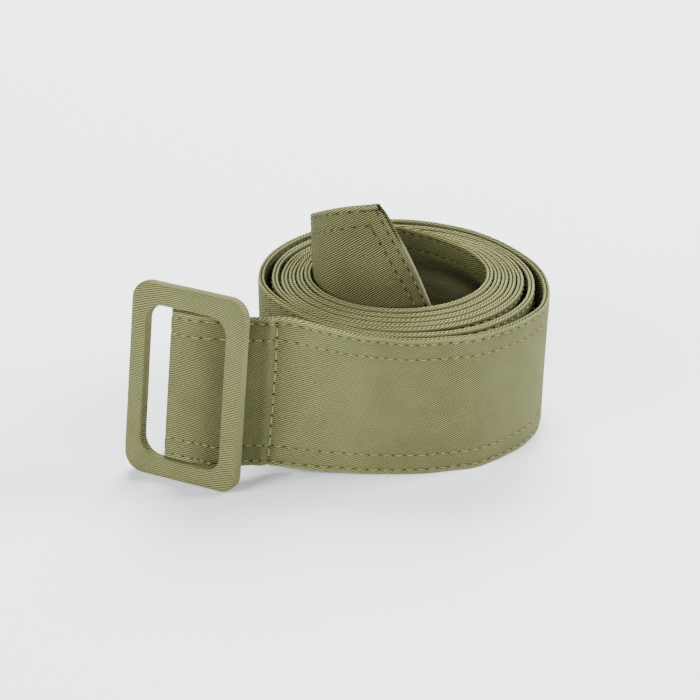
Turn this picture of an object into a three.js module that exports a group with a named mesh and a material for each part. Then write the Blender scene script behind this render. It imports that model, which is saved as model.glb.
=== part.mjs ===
// A coat belt of folded cotton twill, with a cloth-covered slide buckle.
// The belt stands on its edge, rolled into a loose coil, and its cut end rises out of the middle.
// The belt runs through the buckle, folds round the buckle's centre bar and is sewn down behind itself.
// Millimetres and degrees; +Z is up, the floor is at z = 0, and the buckle's face looks along -Y.

import * as THREE from 'three';

// Driving sizes.
const strapWidth = 50;
const strapThick = 2.3;
const edgeRound = 0.6;
const seamGroove = 0.4;
const pieceGap = 0.3;

const buckleWidth = 43.2;
const buckleHeight = 67.2;
const buckleThick = 4.6;
const buckleSides = { left: 6.1, right: 6.9, top: 7.5, foot: 6.7 };
// The radii of the frame's corners, from the upper right one anticlockwise as seen from the front.
const outerRadii = [6.5, 6, 6.5, 5.5];
const innerRadii = [6, 5.6, 6.3, 4.5];
const buckleLean = 8.8;
// The leaning frame's middle stands this far up, so that its lower back edge just touches the floor.
const buckleRise = 0.15;

const centreBarWidth = 7;
const centreBarThick = 1.3;
const centreBarBack = 2.32;
const centreBarAside = -1.4;

// Places, measured from the middle of the coil: where the buckle stands, and where the coil's middle is.
const buckleFoot = { x: -40.4, y: -83.5 };
const coilMiddle = { x: 3.8, y: 17.4 };

// The belt from the buckle's centre bar to the coil, along the middle of its width.
// Columns: x, y, lift of the belt off the floor, lean of its top edge toward +Y in degrees,
// how far behind it the middle of the folded-back layer lies (0 where there is none),
// and how much lower that layer hangs.
const buckleRows = [
  [-45.1, -78.6, 7.05, 8.8, 4.5, 0],
  [-41.5, -78.6, 7.05, 8.8, 4.5, 0],
  [-38.0, -78.2, 7.05, 8.8, 4.3, 0.6],
  [-34.0, -76.8, 6.95, 8.9, 3.4, 1.4],
  [-30.0, -74.6, 6.5, 9.1, 2.8, 1.9],
  [-26.0, -72.1, 5.75, 9.4, 2.7, 1.9],
  [-22.4, -69.0, 5.1, 9.8, 2.7, 1.4],
  [-17.4, -63.4, 4.2, 9.6, 2.7, 0.8],
  [-13.2, -60.4, 3.4, 9.2, 2.7, 0.5],
  [-9.5, -58.7, 2.7, 8.8, 0, 0],
  [0, -54.5, 1.4, 7.2, 0, 0],
  [8, -51.0, 0.6, 5.2, 0, 0],
  [16.1, -47.3, 0.1, 3.0, 0, 0],
  [23.4, -44.3, 0, 1.2, 0, 0],
  [31.3, -39.8, 0, 0, 0, 0],
];

// The coil, from its right-hand side, anticlockwise and inward.
// Columns: turns, radius of the belt's middle, lean of its top edge inward in degrees.
const coilRows = [
  [-0.1, 52.0, -0.8],
  [-0.05, 52.6, -2.0],
  [0, 52.0, -2.8],
  [0.05, 50.1, -2.2],
  [0.12, 48.4, -0.6],
  [0.2, 47.7, 0],
  [0.31, 51.9, 0],
  [0.42, 51.3, 0],
  [0.5, 49.8, 0],
  [0.57, 48.6, 0],
  [0.62, 46.2, 0],
  [0.68, 44.6, 0],
  [0.8, 45.4, 0],
  [0.93, 47.4, 0],
  [1.0, 46.8, 0],
  [1.08, 45.2, 0],
  [1.2, 44.5, 0],
  [1.31, 46.4, 0],
  [1.45, 45.7, 0],
  [1.57, 43.7, 0],
  [1.7, 41.7, 0],
  [1.9, 42.1, 0],
  [2.1, 41.7, 0],
  [2.5, 40.6, 0],
  [6.0, 31.25, 0],
  [6.2, 30.7, 0],
  [6.3, 30.4, -0.5],
  [6.4, 30.1, -0.5],
  [6.5, 29.7, -1.5],
  [6.6, 28.9, -2.5],
  [6.72, 28.0, -2.5],
  [6.86, 27.8, -2.5],
  [7.1, 28.6, -2.5],
];

// How the inner laps climb out of the coil. Columns: turns, lift.
const climbRows = [
  [1.4, 0],
  [1.7, 0],
  [2.1, 0.25],
  [6.08, 2.7],
  [6.28, 4.5],
  [6.38, 8.6],
  [6.5, 14.3],
  [6.61, 24.2],
  [6.73, 35.1],
  [6.79, 39.0],
  [6.85, 41.1],
  [7.1, 48.5],
];
const firstTurn = -1 / 12;
const lastTurn = 7;
const rowsPerTurn = 12;
const stepsPerRow = 3;

// The belt's run along the floor plan, where its two ends lie on that run, and how far each end slants.
const foldedBackStart = 3.2;
const foldedBackSlant = 20;
const strapRun = 1833.3;
const cutSlant = 13;

const arcSteps = 6;
const sectionSides = 16;
const sectionSquareness = 5;

const khaki = 0x8f8f63;

function radians(degrees) {
  return (degrees * Math.PI) / 180;
}

// A smooth curve through rows of numbers; each row's slope is that of the line between its neighbours.
function through(rows, places, at) {
  const last = rows.length - 2;
  let i = 0;
  while (i < last && places[i + 1] <= at) {
    i += 1;
  }
  const span = places[i + 1] - places[i];
  const t = THREE.MathUtils.clamp((at - places[i]) / span, 0, 1);
  const slope = (k, column) => {
    const a = Math.max(k - 1, 0);
    const b = Math.min(k + 1, rows.length - 1);
    return (rows[b][column] - rows[a][column]) / (places[b] - places[a]);
  };
  return rows[i].map((value, column) => {
    const next = rows[i + 1][column];
    const rest = slope(i, column) * span * t * (1 - t) ** 2 - slope(i + 1, column) * span * t * t * (1 - t);
    return value + (next - value) * t * t * (3 - 2 * t) + rest;
  });
}

// The rows that the belt's middle line runs through: x, y, lift, and the lean's two parts along X and Y.
function strapRows() {
  const frontLayer = buckleRows.map(([x, y, lift, lean]) => [x, y, lift, 0, Math.sin(radians(lean))]);
  const foldedBack = [];
  buckleRows.forEach(([x, y, lift, lean, behind, lower], i) => {
    if (behind > 0) {
      const before = buckleRows[Math.max(i - 1, 0)];
      const after = buckleRows[i + 1];
      const along = new THREE.Vector2(after[0] - before[0], after[1] - before[1]).normalize();
      const place = [x - along.y * behind, y + along.x * behind, lift - lower];
      foldedBack.unshift([...place, 0, Math.sin(radians(lean))]);
    }
  });
  const [foldX, foldY, foldLift, foldLean, foldGap] = buckleRows[0];
  const fold = [120, 150, 180, 210, 240].map((degrees) => [
    foldX + (foldGap / 2) * Math.cos(radians(degrees)),
    foldY + foldGap / 2 + (foldGap / 2) * Math.sin(radians(degrees)),
    foldLift,
    0,
    Math.sin(radians(foldLean)),
  ]);
  const coil = [];
  const coilPlaces = coilRows.map((row) => row[0]);
  const climbPlaces = climbRows.map((row) => row[0]);
  for (let turn = firstTurn; turn < lastTurn; turn += 1 / rowsPerTurn) {
    const [, radius, lean] = through(coilRows, coilPlaces, turn);
    const [, lift] = through(climbRows, climbPlaces, turn);
    const angle = 2 * Math.PI * turn;
    const outward = [Math.cos(angle), Math.sin(angle)];
    const leaning = outward.map((part) => -part * Math.sin(radians(lean)));
    coil.push([radius * outward[0], radius * outward[1], lift, ...leaning]);
  }
  return [...foldedBack, ...fold, ...frontLayer, ...coil];
}

// The route: a sample every few millimetres, with its run along the floor plan and its direction.
function makeRoute() {
  const rows = strapRows();
  const places = [0];
  for (let i = 1; i < rows.length; i += 1) {
    places.push(places[i - 1] + Math.hypot(rows[i][0] - rows[i - 1][0], rows[i][1] - rows[i - 1][1]));
  }
  const samples = [];
  for (let i = 0; i + 1 < rows.length; i += 1) {
    for (let k = 0; k < stepsPerRow; k += 1) {
      const at = places[i] + ((places[i + 1] - places[i]) * k) / stepsPerRow;
      const [x, y, lift, leanX, leanY] = through(rows, places, at);
      samples.push({ x, y, lift: Math.max(lift, 0), leanX, leanY });
    }
  }
  samples.forEach((sample, i) => {
    const before = samples[Math.max(i - 1, 0)];
    const after = samples[Math.min(i + 1, samples.length - 1)];
    const along = new THREE.Vector2(after.x - before.x, after.y - before.y).normalize();
    sample.inwardX = -along.y;
    sample.inwardY = along.x;
    sample.run = i === 0 ? 0 : before.run + Math.hypot(sample.x - before.x, sample.y - before.y);
  });
  samples.forEach((sample, i) => {
    const before = samples[Math.max(i - 1, 0)];
    const after = samples[Math.min(i + 1, samples.length - 1)];
    sample.climb = Math.atan2(after.lift - before.lift, after.run - before.run);
  });
  return samples;
}

function placeOnRoute(route, run) {
  let i = 0;
  while (i < route.length - 2 && route[i + 1].run <= run) {
    i += 1;
  }
  const t = (run - route[i].run) / (route[i + 1].run - route[i].run);
  const names = Object.keys(route[i]);
  return Object.fromEntries(names.map((name) => [name, THREE.MathUtils.lerp(route[i][name], route[i + 1][name], t)]));
}

// One corner of the belt's section: across is measured up its width, out through its thickness.
function strapPoint(route, run, across, out) {
  const middle = placeOnRoute(route, run);
  const rise = across * Math.cos(middle.climb);
  const place = placeOnRoute(route, run - across * Math.sin(middle.climb));
  return [
    place.x - place.inwardX * out + middle.leanX * rise,
    place.y - place.inwardY * out + middle.leanY * rise,
    strapWidth / 2 + middle.lift + rise * Math.sqrt(1 - middle.leanX ** 2 - middle.leanY ** 2),
  ];
}

// The belt's section: a flat foot, rounded corners, and a groove between the two folded plies on top.
function strapSection() {
  const half = strapWidth / 2;
  const face = strapThick / 2;
  const flat = face - edgeRound / 2;
  return [
    [-half, flat],
    [-half, -flat],
    [edgeRound - half, -face],
    [half - edgeRound, -face],
    [half, -flat],
    [half, -seamGroove],
    [half - seamGroove, 0],
    [half, seamGroove],
    [half, flat],
    [half - edgeRound, face],
    [edgeRound - half, face],
  ];
}

function closedBody(points, triangles) {
  const geometry = new THREE.BufferGeometry();
  geometry.setAttribute('position', new THREE.Float32BufferAttribute(points.flat(), 3));
  geometry.setIndex(triangles.flat());
  geometry.computeVertexNormals();
  return geometry;
}

// Triangles between rings of points, with or without a last strip back to the first ring.
function ringTriangles(rings, sides, joined) {
  const triangles = [];
  for (let i = 0; i < (joined ? rings : rings - 1); i += 1) {
    for (let k = 0; k < sides; k += 1) {
      const a = i * sides + k;
      const b = i * sides + ((k + 1) % sides);
      const c = ((i + 1) % rings) * sides + k;
      const d = ((i + 1) % rings) * sides + ((k + 1) % sides);
      triangles.push([a, b, c], [b, d, c]);
    }
  }
  return triangles;
}

function makeStrap() {
  const route = makeRoute();
  const section = strapSection();
  const sides = section.length;
  const inside = (run) => run > foldedBackStart + 1 && run < strapRun - 2;
  const runs = [foldedBackStart, ...route.map((sample) => sample.run).filter(inside), strapRun];
  const points = runs.flatMap((run) => {
    const nearStart = 1 - THREE.MathUtils.smoothstep(run, foldedBackStart, foldedBackStart + strapWidth / 2);
    const nearEnd = THREE.MathUtils.smoothstep(run, strapRun - strapWidth / 2, strapRun);
    const slant = Math.tan(radians(cutSlant)) * nearEnd - Math.tan(radians(foldedBackSlant)) * nearStart;
    return section.map(([across, out]) => strapPoint(route, run - across * slant, across, out));
  });
  const triangles = ringTriangles(runs.length, sides, false);
  const outline = section.map(([across, out]) => new THREE.Vector2(across, out));
  const lastRing = (runs.length - 1) * sides;
  THREE.ShapeUtils.triangulateShape(outline, []).forEach(([a, b, c]) => {
    triangles.push([a, c, b], [a + lastRing, b + lastRing, c + lastRing]);
  });
  return closedBody(points, triangles);
}

// A rounded rectangle's corners as arcs, anticlockwise from its right-hand side.
function roundedLoop(left, right, foot, top, radii) {
  const loop = [];
  [[right, top], [left, top], [left, foot], [right, foot]].forEach(([x, z], corner) => {
    const radius = radii[corner];
    for (let k = 0; k <= arcSteps; k += 1) {
      const angle = (Math.PI / 2) * (corner + k / arcSteps);
      loop.push([
        x + radius * (Math.cos(angle) - (x === right ? 1 : -1)),
        z + radius * (Math.sin(angle) - (z === top ? 1 : -1)),
      ]);
    }
  });
  return loop;
}

// The covered frame: a soft-cornered section carried from the window's outline to the outer one.
function makeBuckleFrame() {
  const { left, right, top, foot } = buckleSides;
  const half = buckleWidth / 2;
  const outer = roundedLoop(-half, half, 0, buckleHeight, outerRadii);
  const inner = roundedLoop(left - half, half - right, foot, buckleHeight - top, innerRadii);
  const points = outer.flatMap(([x, z], i) => {
    const ring = [];
    for (let k = 0; k < sectionSides; k += 1) {
      const angle = (2 * Math.PI * k) / sectionSides;
      const soft = (value) => Math.sign(value) * Math.abs(value) ** (2 / sectionSquareness);
      const share = 0.5 + 0.5 * soft(Math.cos(angle));
      ring.push([
        THREE.MathUtils.lerp(inner[i][0], x, share),
        (buckleThick / 2) * soft(Math.sin(angle)),
        THREE.MathUtils.lerp(inner[i][1], z, share),
      ]);
    }
    return ring;
  });
  return closedBody(points, ringTriangles(outer.length, sectionSides, true));
}

// The bar that the belt folds round: flat, with round edges, standing between the frame's top and foot.
function makeCentreBar() {
  const half = centreBarWidth / 2 - centreBarThick / 2;
  const foot = buckleSides.foot + pieceGap;
  const length = buckleHeight - buckleSides.top - pieceGap - foot;
  const section = new THREE.Shape();
  section.absarc(half, 0, centreBarThick / 2, -Math.PI / 2, Math.PI / 2, false);
  section.absarc(-half, 0, centreBarThick / 2, Math.PI / 2, (3 * Math.PI) / 2, false);
  const geometry = new THREE.ExtrudeGeometry(section, { depth: length, bevelEnabled: false, curveSegments: 5 });
  geometry.translate(0, 0, foot);
  return geometry;
}

const cloth = new THREE.MeshStandardMaterial({ color: khaki, roughness: 0.85, metalness: 0 });
const coveredFrame = new THREE.MeshStandardMaterial({ color: khaki, roughness: 0.8, metalness: 0 });
const plainBar = new THREE.MeshStandardMaterial({ color: 0x3b3a30, roughness: 0.6, metalness: 0 });

const strap = new THREE.Mesh(makeStrap(), cloth);
strap.name = 'strap';

const buckleFrame = new THREE.Mesh(makeBuckleFrame(), coveredFrame);
buckleFrame.name = 'buckle_frame';

const centreBar = new THREE.Mesh(makeCentreBar(), plainBar);
centreBar.name = 'centre_bar';
centreBar.position.set(centreBarAside, centreBarBack, 0);

const buckle = new THREE.Group();
buckle.add(buckleFrame, centreBar);
buckle.rotation.x = -radians(buckleLean);
buckle.position.set(buckleFoot.x, buckleFoot.y, buckleRise);

const belt = new THREE.Group();
belt.add(strap, buckle);
belt.position.set(coilMiddle.x, coilMiddle.y, 0);

export default belt;
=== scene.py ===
"""A coat belt of khaki cotton twill with a cloth-covered slide buckle, rolled up and standing on its edge.

The belt runs from a layer sewn down behind its front, round the buckle's bar, along the front and into a
spiral coil, and its cut end climbs out of the coil's middle. A place along it is its run, measured along the
floor plan. Tables and stitch sizes are in millimetres, measured from the coil's middle; meshes in metres.
"""

import math

import bpy
import numpy as np
from bpy.props import FloatProperty, FloatVectorProperty, PointerProperty
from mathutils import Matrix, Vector


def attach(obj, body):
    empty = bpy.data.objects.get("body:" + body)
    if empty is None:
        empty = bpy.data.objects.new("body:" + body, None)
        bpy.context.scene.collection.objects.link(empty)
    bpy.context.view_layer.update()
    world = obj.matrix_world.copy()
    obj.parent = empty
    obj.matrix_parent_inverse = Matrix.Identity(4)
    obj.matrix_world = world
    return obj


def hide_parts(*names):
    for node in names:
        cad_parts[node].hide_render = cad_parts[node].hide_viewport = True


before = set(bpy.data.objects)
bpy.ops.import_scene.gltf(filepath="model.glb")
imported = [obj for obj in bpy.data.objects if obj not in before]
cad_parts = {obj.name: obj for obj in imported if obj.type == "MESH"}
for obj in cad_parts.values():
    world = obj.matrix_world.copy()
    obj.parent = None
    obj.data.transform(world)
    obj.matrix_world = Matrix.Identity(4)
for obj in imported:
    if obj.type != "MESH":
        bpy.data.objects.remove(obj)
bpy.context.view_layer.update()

bl_info = {
    "name": "Rolled coat belt",
    "version": (1, 0, 0),
    "blender": (4, 5, 0),
    "location": "View3D > Sidebar > Coat belt",
    "description": "Builds a rolled coat belt of cotton twill with a covered slide buckle",
    "category": "Add Mesh",
}

MM = 0.001

# The middle of the coil, from the frame's origin.
COIL_MIDDLE = (3.8, 17.4)

# The belt from the buckle's bar to the coil, along the middle of its width.
# Columns: x, y, lift off the floor, lean of the top edge toward +Y in degrees, how far behind it the
# folded-back layer lies (0 where there is none), and how much lower that layer hangs.
FRONT_ROWS = np.array([
    [-45.1, -78.6, 7.05, 8.8, 4.5, 0],
    [-41.5, -78.6, 7.05, 8.8, 4.5, 0],
    [-38.0, -78.2, 7.05, 8.8, 4.3, 0.6],
    [-34.0, -76.8, 6.95, 8.9, 3.4, 1.4],
    [-30.0, -74.6, 6.5, 9.1, 2.8, 1.9],
    [-26.0, -72.1, 5.75, 9.4, 2.7, 1.9],
    [-22.4, -69.0, 5.1, 9.8, 2.7, 1.4],
    [-17.4, -63.4, 4.2, 9.6, 2.7, 0.8],
    [-13.2, -60.4, 3.4, 9.2, 2.7, 0.5],
    [-9.5, -58.7, 2.7, 8.8, 0, 0],
    [0, -54.5, 1.4, 7.2, 0, 0],
    [8, -51.0, 0.6, 5.2, 0, 0],
    [16.1, -47.3, 0.1, 3.0, 0, 0],
    [23.4, -44.3, 0, 1.2, 0, 0],
    [31.3, -39.8, 0, 0, 0, 0],
])
FOLD_ANGLES = (120, 150, 180, 210, 240)

# The coil, from its right-hand side, anticlockwise and inward.
# Columns: turns, radius of the belt's middle, lean of the top edge inward in degrees.
COIL_ROWS = np.array([
    [-0.1, 52.0, -0.8],
    [-0.05, 52.6, -2.0],
    [0, 52.0, -2.8],
    [0.05, 50.1, -2.2],
    [0.12, 48.4, -0.6],
    [0.2, 47.7, 0],
    [0.31, 51.9, 0],
    [0.42, 51.3, 0],
    [0.5, 49.8, 0],
    [0.57, 48.6, 0],
    [0.62, 46.2, 0],
    [0.68, 44.6, 0],
    [0.8, 45.4, 0],
    [0.93, 47.4, 0],
    [1.0, 46.8, 0],
    [1.08, 45.2, 0],
    [1.2, 44.5, 0],
    [1.31, 46.4, 0],
    [1.45, 45.7, 0],
    [1.57, 43.7, 0],
    [1.7, 41.7, 0],
    [1.9, 42.1, 0],
    [2.1, 41.7, 0],
    [2.5, 40.6, 0],
    [6.0, 31.25, 0],
    [6.2, 30.7, 0],
    [6.3, 30.4, -0.5],
    [6.4, 30.1, -0.5],
    [6.5, 29.7, -1.5],
    [6.6, 28.9, -2.5],
    [6.72, 28.0, -2.5],
    [6.86, 27.8, -2.5],
    [7.1, 28.6, -2.5],
])

# How the inner laps climb out of the coil. Columns: turns, lift.
CLIMB_ROWS = np.array([
    [1.4, 0],
    [1.7, 0],
    [2.1, 0.25],
    [6.08, 2.7],
    [6.28, 4.5],
    [6.38, 8.6],
    [6.5, 14.3],
    [6.61, 24.2],
    [6.73, 35.1],
    [6.79, 39.0],
    [6.85, 41.1],
    [7.1, 48.5],
])
FIRST_TURN = -1 / 12
LAST_TURN = 7.04
ROWS_PER_TURN = 12
STEPS_PER_ROW = 12

# How far the route goes straight on beyond both of its ends.
SPARE_RUN = 40

# The belt's rings lie close together up to this run, and from this far before the cut end.
FINE_FRONT = 420
FINE_END = 170

# The rim of a folded edge: two rounded plies with a groove between them.
# Columns: distance in from the edge, share of the wall's half thickness.
RIM_ROWS = np.array([
    [0.7, 1.0],
    [0.36, 0.96],
    [0.13, 0.85],
    [0.02, 0.7],
    [0, 0.54],
    [0.08, 0.37],
    [0.3, 0.22],
    [0.62, 0.12],
    [0.95, 0],
])

# The wall's half thickness from the edge to the middle of the width: folded hems, pinched where sewn.
# Columns: distance in from the edge, half thickness.
HEM_ROWS = np.array([
    [0.7, 1.1],
    [1.15, 1.07],
    [1.5, 0.96],
    [1.75, 0.87],
    [2.05, 0.97],
    [2.6, 1.1],
    [3.6, 1.16],
    [6.0, 1.13],
    [6.7, 1.05],
    [7.2, 0.91],
    [7.6, 1.0],
    [8.4, 1.08],
    [11, 1.09],
    [17.5, 1.06],
    [21, 1.05],
])

# How deep and broad the thread's dip in the wall is at each needle hole.
HOLE_DIP = 0.1
DIP_BREADTH = 0.7

# The waves along both edges. Columns: run to each radian, shift between the top edge and the foot, share of
# the height.
PUCKER_HEIGHT = 0.045
PUCKER_ROWS = (
    (2.9, 2, 1),
    (4.7, 5, 1),
    (1.9, 1, 0.8),
)
SLOW_WAVE_HEIGHT = 0.05

# How much the seam's run falls for each millimetre up the belt.
SEAM_SLANT = 0.146

# Bumps and hollows beside the seam. Columns: distance past the seam, breadth, height out of the face.
SEAM_ROWS = (
    (0, 0.75, -0.6),
    (-2.6, 1.8, 0.6),
    (-8.5, 3.2, -0.5),
    (1.7, 1.1, 0.2),
)

# The gathers beside the seam: their spacing, height, distance past the seam, and breadth.
GATHER_SPACING = 3.1
GATHER_HEIGHT = 0.3
GATHER_PLACE = -3.2
GATHER_BREADTH = 3.4

# How much higher the top edge stands where the belt is folded and sewn, and how much lower the foot hangs in
# the buckle's window, and again behind the buckle's right side.
STRETCH = 1.3
FOOT_SAG = 0.45
FOOT_STRETCH = 0.9

# Distances of the two rows of stitches from the cut end.
END_ROWS = (2.35, 6.3)

# How far the cut end's folded corners are drawn back, and how much of the width that bends.
CORNER = 0.9
CORNER_BREADTH = 5.5

# How much deeper the groove between the plies is near the cut end's upper corner, and where across the belt
# and how broad that is.
TUCK = 1.4
TUCK_ACROSS = 21.5
TUCK_BREADTH = 2.5

# How far the outer ply stops short of the inner one at the cut end.
PLY_STEP = 0.85

# How steeply the twill of the raised end climbs, in degrees.
RAISED_SLANT = 11

# Stretches that look different: where each starts, is full, begins to fade and ends. They are on the belt's
# run, then past the seam, then before the cut end. Where the ribs show faint, their painted groove shade is
# weaker and the cloth a little darker. The others are painted shade in the buckle frame's shadow, low on the
# coil beside the front and before the seam, painted light past the seam, a painted highlight on the cut
# end's ridge, and painted shade in the groove at the cut end.
FAINT_RIBS = ((84, 104, 122, 136), (146, 156, 165, 200))
BUCKLE_SHADOW = (43, 59, 64, 69)
SHADE_BESIDE_FRONT = (295, 325, 430, 460)
SHADE_BEFORE_SEAM = (-13, -9.5, -5, -1.5)
LIGHT_PAST_SEAM = (0, 5, 20, 48)
END_RIDGE_HIGHLIGHT = (0.9, 1.2, 1.8, 2.2)
END_GROOVE_SHADE = (0.5, 0.75, 1.2, 1.5)

# Where the coil starts to cover the belt's inner face, and its outer one, and where it fully does. Covered
# faces get painted shade below their rims.
INNER_COVERED = (140, 165)
OUTER_COVERED = (455, 490)

# The radii of the needle holes round the edges, and down the seam.
HOLE_RADIUS = 0.26
SEAM_HOLE_RADIUS = 0.34

# Depths of the fine relief on the twill, the thread and the bar, in metres.
WEAVE_DEPTH = 0.00013
PLY_DEPTH = 0.00006
GRAIN_DEPTH = 0.00003

# How far before the cut end the darker thread starts, a stitch's length as a share of the pitch, and how
# much longer and thicker the seam's stitches are. The darker thread's colour is painted shade.
DARK_THREAD = 60
STITCH_SHARE = 0.55
SEAM_LONGER = 1.75
SEAM_THICKER = 1.3


def unit(vectors):
    """The vectors, each made one long."""
    return vectors / np.linalg.norm(vectors, axis=-1, keepdims=True)


def smooth(low, high, value):
    """0 below low, 1 above high, and a smooth cubic step between them."""
    t = np.clip((value - low) / (high - low), 0, 1)
    return t * t * (3 - 2 * t)


def through(rows, places, at):
    """A cubic curve through rows; each row's slope is that of the line between its neighbours."""
    last = len(rows) - 1
    before = np.maximum(np.arange(last + 1) - 1, 0)
    after = np.minimum(np.arange(last + 1) + 1, last)
    slopes = (rows[after] - rows[before]) / (places[after] - places[before])[:, None]
    i = np.clip(np.searchsorted(places, at, side="right") - 1, 0, last - 1)
    span = (places[i + 1] - places[i])[:, None]
    t = np.clip((at - places[i])[:, None] / span, 0, 1)
    step = (rows[i + 1] - rows[i]) * t * t * (3 - 2 * t)
    return rows[i] + step + slopes[i] * span * t * (1 - t) ** 2 - slopes[i + 1] * span * t * t * (1 - t)


def strap_rows():
    """The points that the belt's middle line runs through.

    The folded-back layer is the front layer moved to the left of its travel and down by the last columns,
    then come a half circle round the bar, the front layer, and the coil: radius by turn, at twelve points a
    turn.
    Columns: x, y, lift, and the lean's two parts along X and Y.
    """
    x, y, lift, lean, behind, lower = FRONT_ROWS.T
    lean_y = np.sin(np.radians(lean))
    front = np.column_stack([x, y, lift, 0 * x, lean_y])
    sewn = np.flatnonzero(behind)
    travel = unit(FRONT_ROWS[sewn + 1, :2] - FRONT_ROWS[np.maximum(sewn - 1, 0), :2])
    back = front[sewn].copy()
    back[:, 0] -= travel[:, 1] * behind[sewn]
    back[:, 1] += travel[:, 0] * behind[sewn]
    back[:, 2] -= lower[sewn]
    angle = np.radians(FOLD_ANGLES)
    radius = behind[0] / 2
    fold = np.tile(front[0], (len(angle), 1))
    fold[:, 0] += radius * np.cos(angle)
    fold[:, 1] += radius * (1 + np.sin(angle))
    turns = np.arange(FIRST_TURN, LAST_TURN, 1 / ROWS_PER_TURN)
    coil_radius, coil_lean = through(COIL_ROWS, COIL_ROWS[:, 0], turns)[:, 1:].T
    climb = through(CLIMB_ROWS, CLIMB_ROWS[:, 0], turns)[:, 1]
    outward = np.column_stack([np.cos(2 * np.pi * turns), np.sin(2 * np.pi * turns)])
    leaning = -outward * np.sin(np.radians(coil_lean))[:, None]
    coil = np.column_stack([outward * coil_radius[:, None], climb, leaning])
    return np.vstack([back[::-1], fold, front, coil])


class Route:
    """The belt's middle line, sampled finely, with its run along the floor plan and its direction."""

    def __init__(self):
        rows = strap_rows()
        places = np.concatenate([[0], np.cumsum(np.linalg.norm(np.diff(rows[:, :2], axis=0), axis=1))])
        steps = np.arange((len(rows) - 1) * STEPS_PER_ROW + 1) / STEPS_PER_ROW
        samples = through(rows, places, np.interp(steps, np.arange(len(rows)), places))
        samples[:, 2] = np.maximum(samples[:, 2], 0)
        self.run = np.concatenate([[0], np.cumsum(np.linalg.norm(np.diff(samples[:, :2], axis=0), axis=1))])
        travel = unit(np.gradient(samples[:, :2], axis=0))
        climb = np.arctan(np.gradient(samples[:, 2], self.run))
        columns = np.column_stack([samples, -travel[:, 1], travel[:, 0], climb])
        beyond = np.array([[-SPARE_RUN], [SPARE_RUN]]) * np.column_stack([travel[[0, -1]], np.zeros((2, 6))])
        self.run = np.concatenate([[-SPARE_RUN], self.run, [self.run[-1] + SPARE_RUN]])
        self.columns = np.vstack([columns[0] + beyond[0], columns, columns[-1] + beyond[1]])

    def at(self, run):
        """x, y, lift, lean x, lean y, inward x, inward y and climb at each run."""
        return [np.interp(run, self.run, column) for column in self.columns.T]

    def points(self, width, run, across, out):
        """The middle of the belt, plus across up its leaning width, plus out through its thickness.

        The width stays square to the climb, so a point above the middle is taken a little further back.
        """
        _, _, lift, lean_x, lean_y, _, _, climb = self.at(run)
        rise = across * np.cos(climb)
        x, y, _, _, _, inward_x, inward_y, _ = self.at(run - across * np.sin(climb))
        upright = rise * np.sqrt(1 - lean_x ** 2 - lean_y ** 2)
        return MM * np.stack([
            x + COIL_MIDDLE[0] - inward_x * out + lean_x * rise,
            y + COIL_MIDDLE[1] - inward_y * out + lean_y * rise,
            np.maximum(width / 2 + lift + upright, 0),
        ], axis=-1)


class Value:
    """A socket's value in a node tree. Sums, differences, products and powers add Math nodes."""

    def __init__(self, finish, socket):
        self.finish = finish
        self.socket = socket

    def __add__(self, other):
        return self.finish.maths("ADD", self, other)

    def __sub__(self, other):
        return self.finish.maths("SUBTRACT", self, other)

    def __rsub__(self, other):
        return self.finish.maths("SUBTRACT", other, self)

    def __mul__(self, other):
        return self.finish.maths("MULTIPLY", self, other)

    def __truediv__(self, other):
        return self.finish.maths("DIVIDE", self, other)

    def __pow__(self, other):
        return self.finish.maths("POWER", self, other)

    __radd__ = __add__
    __rmul__ = __mul__


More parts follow.
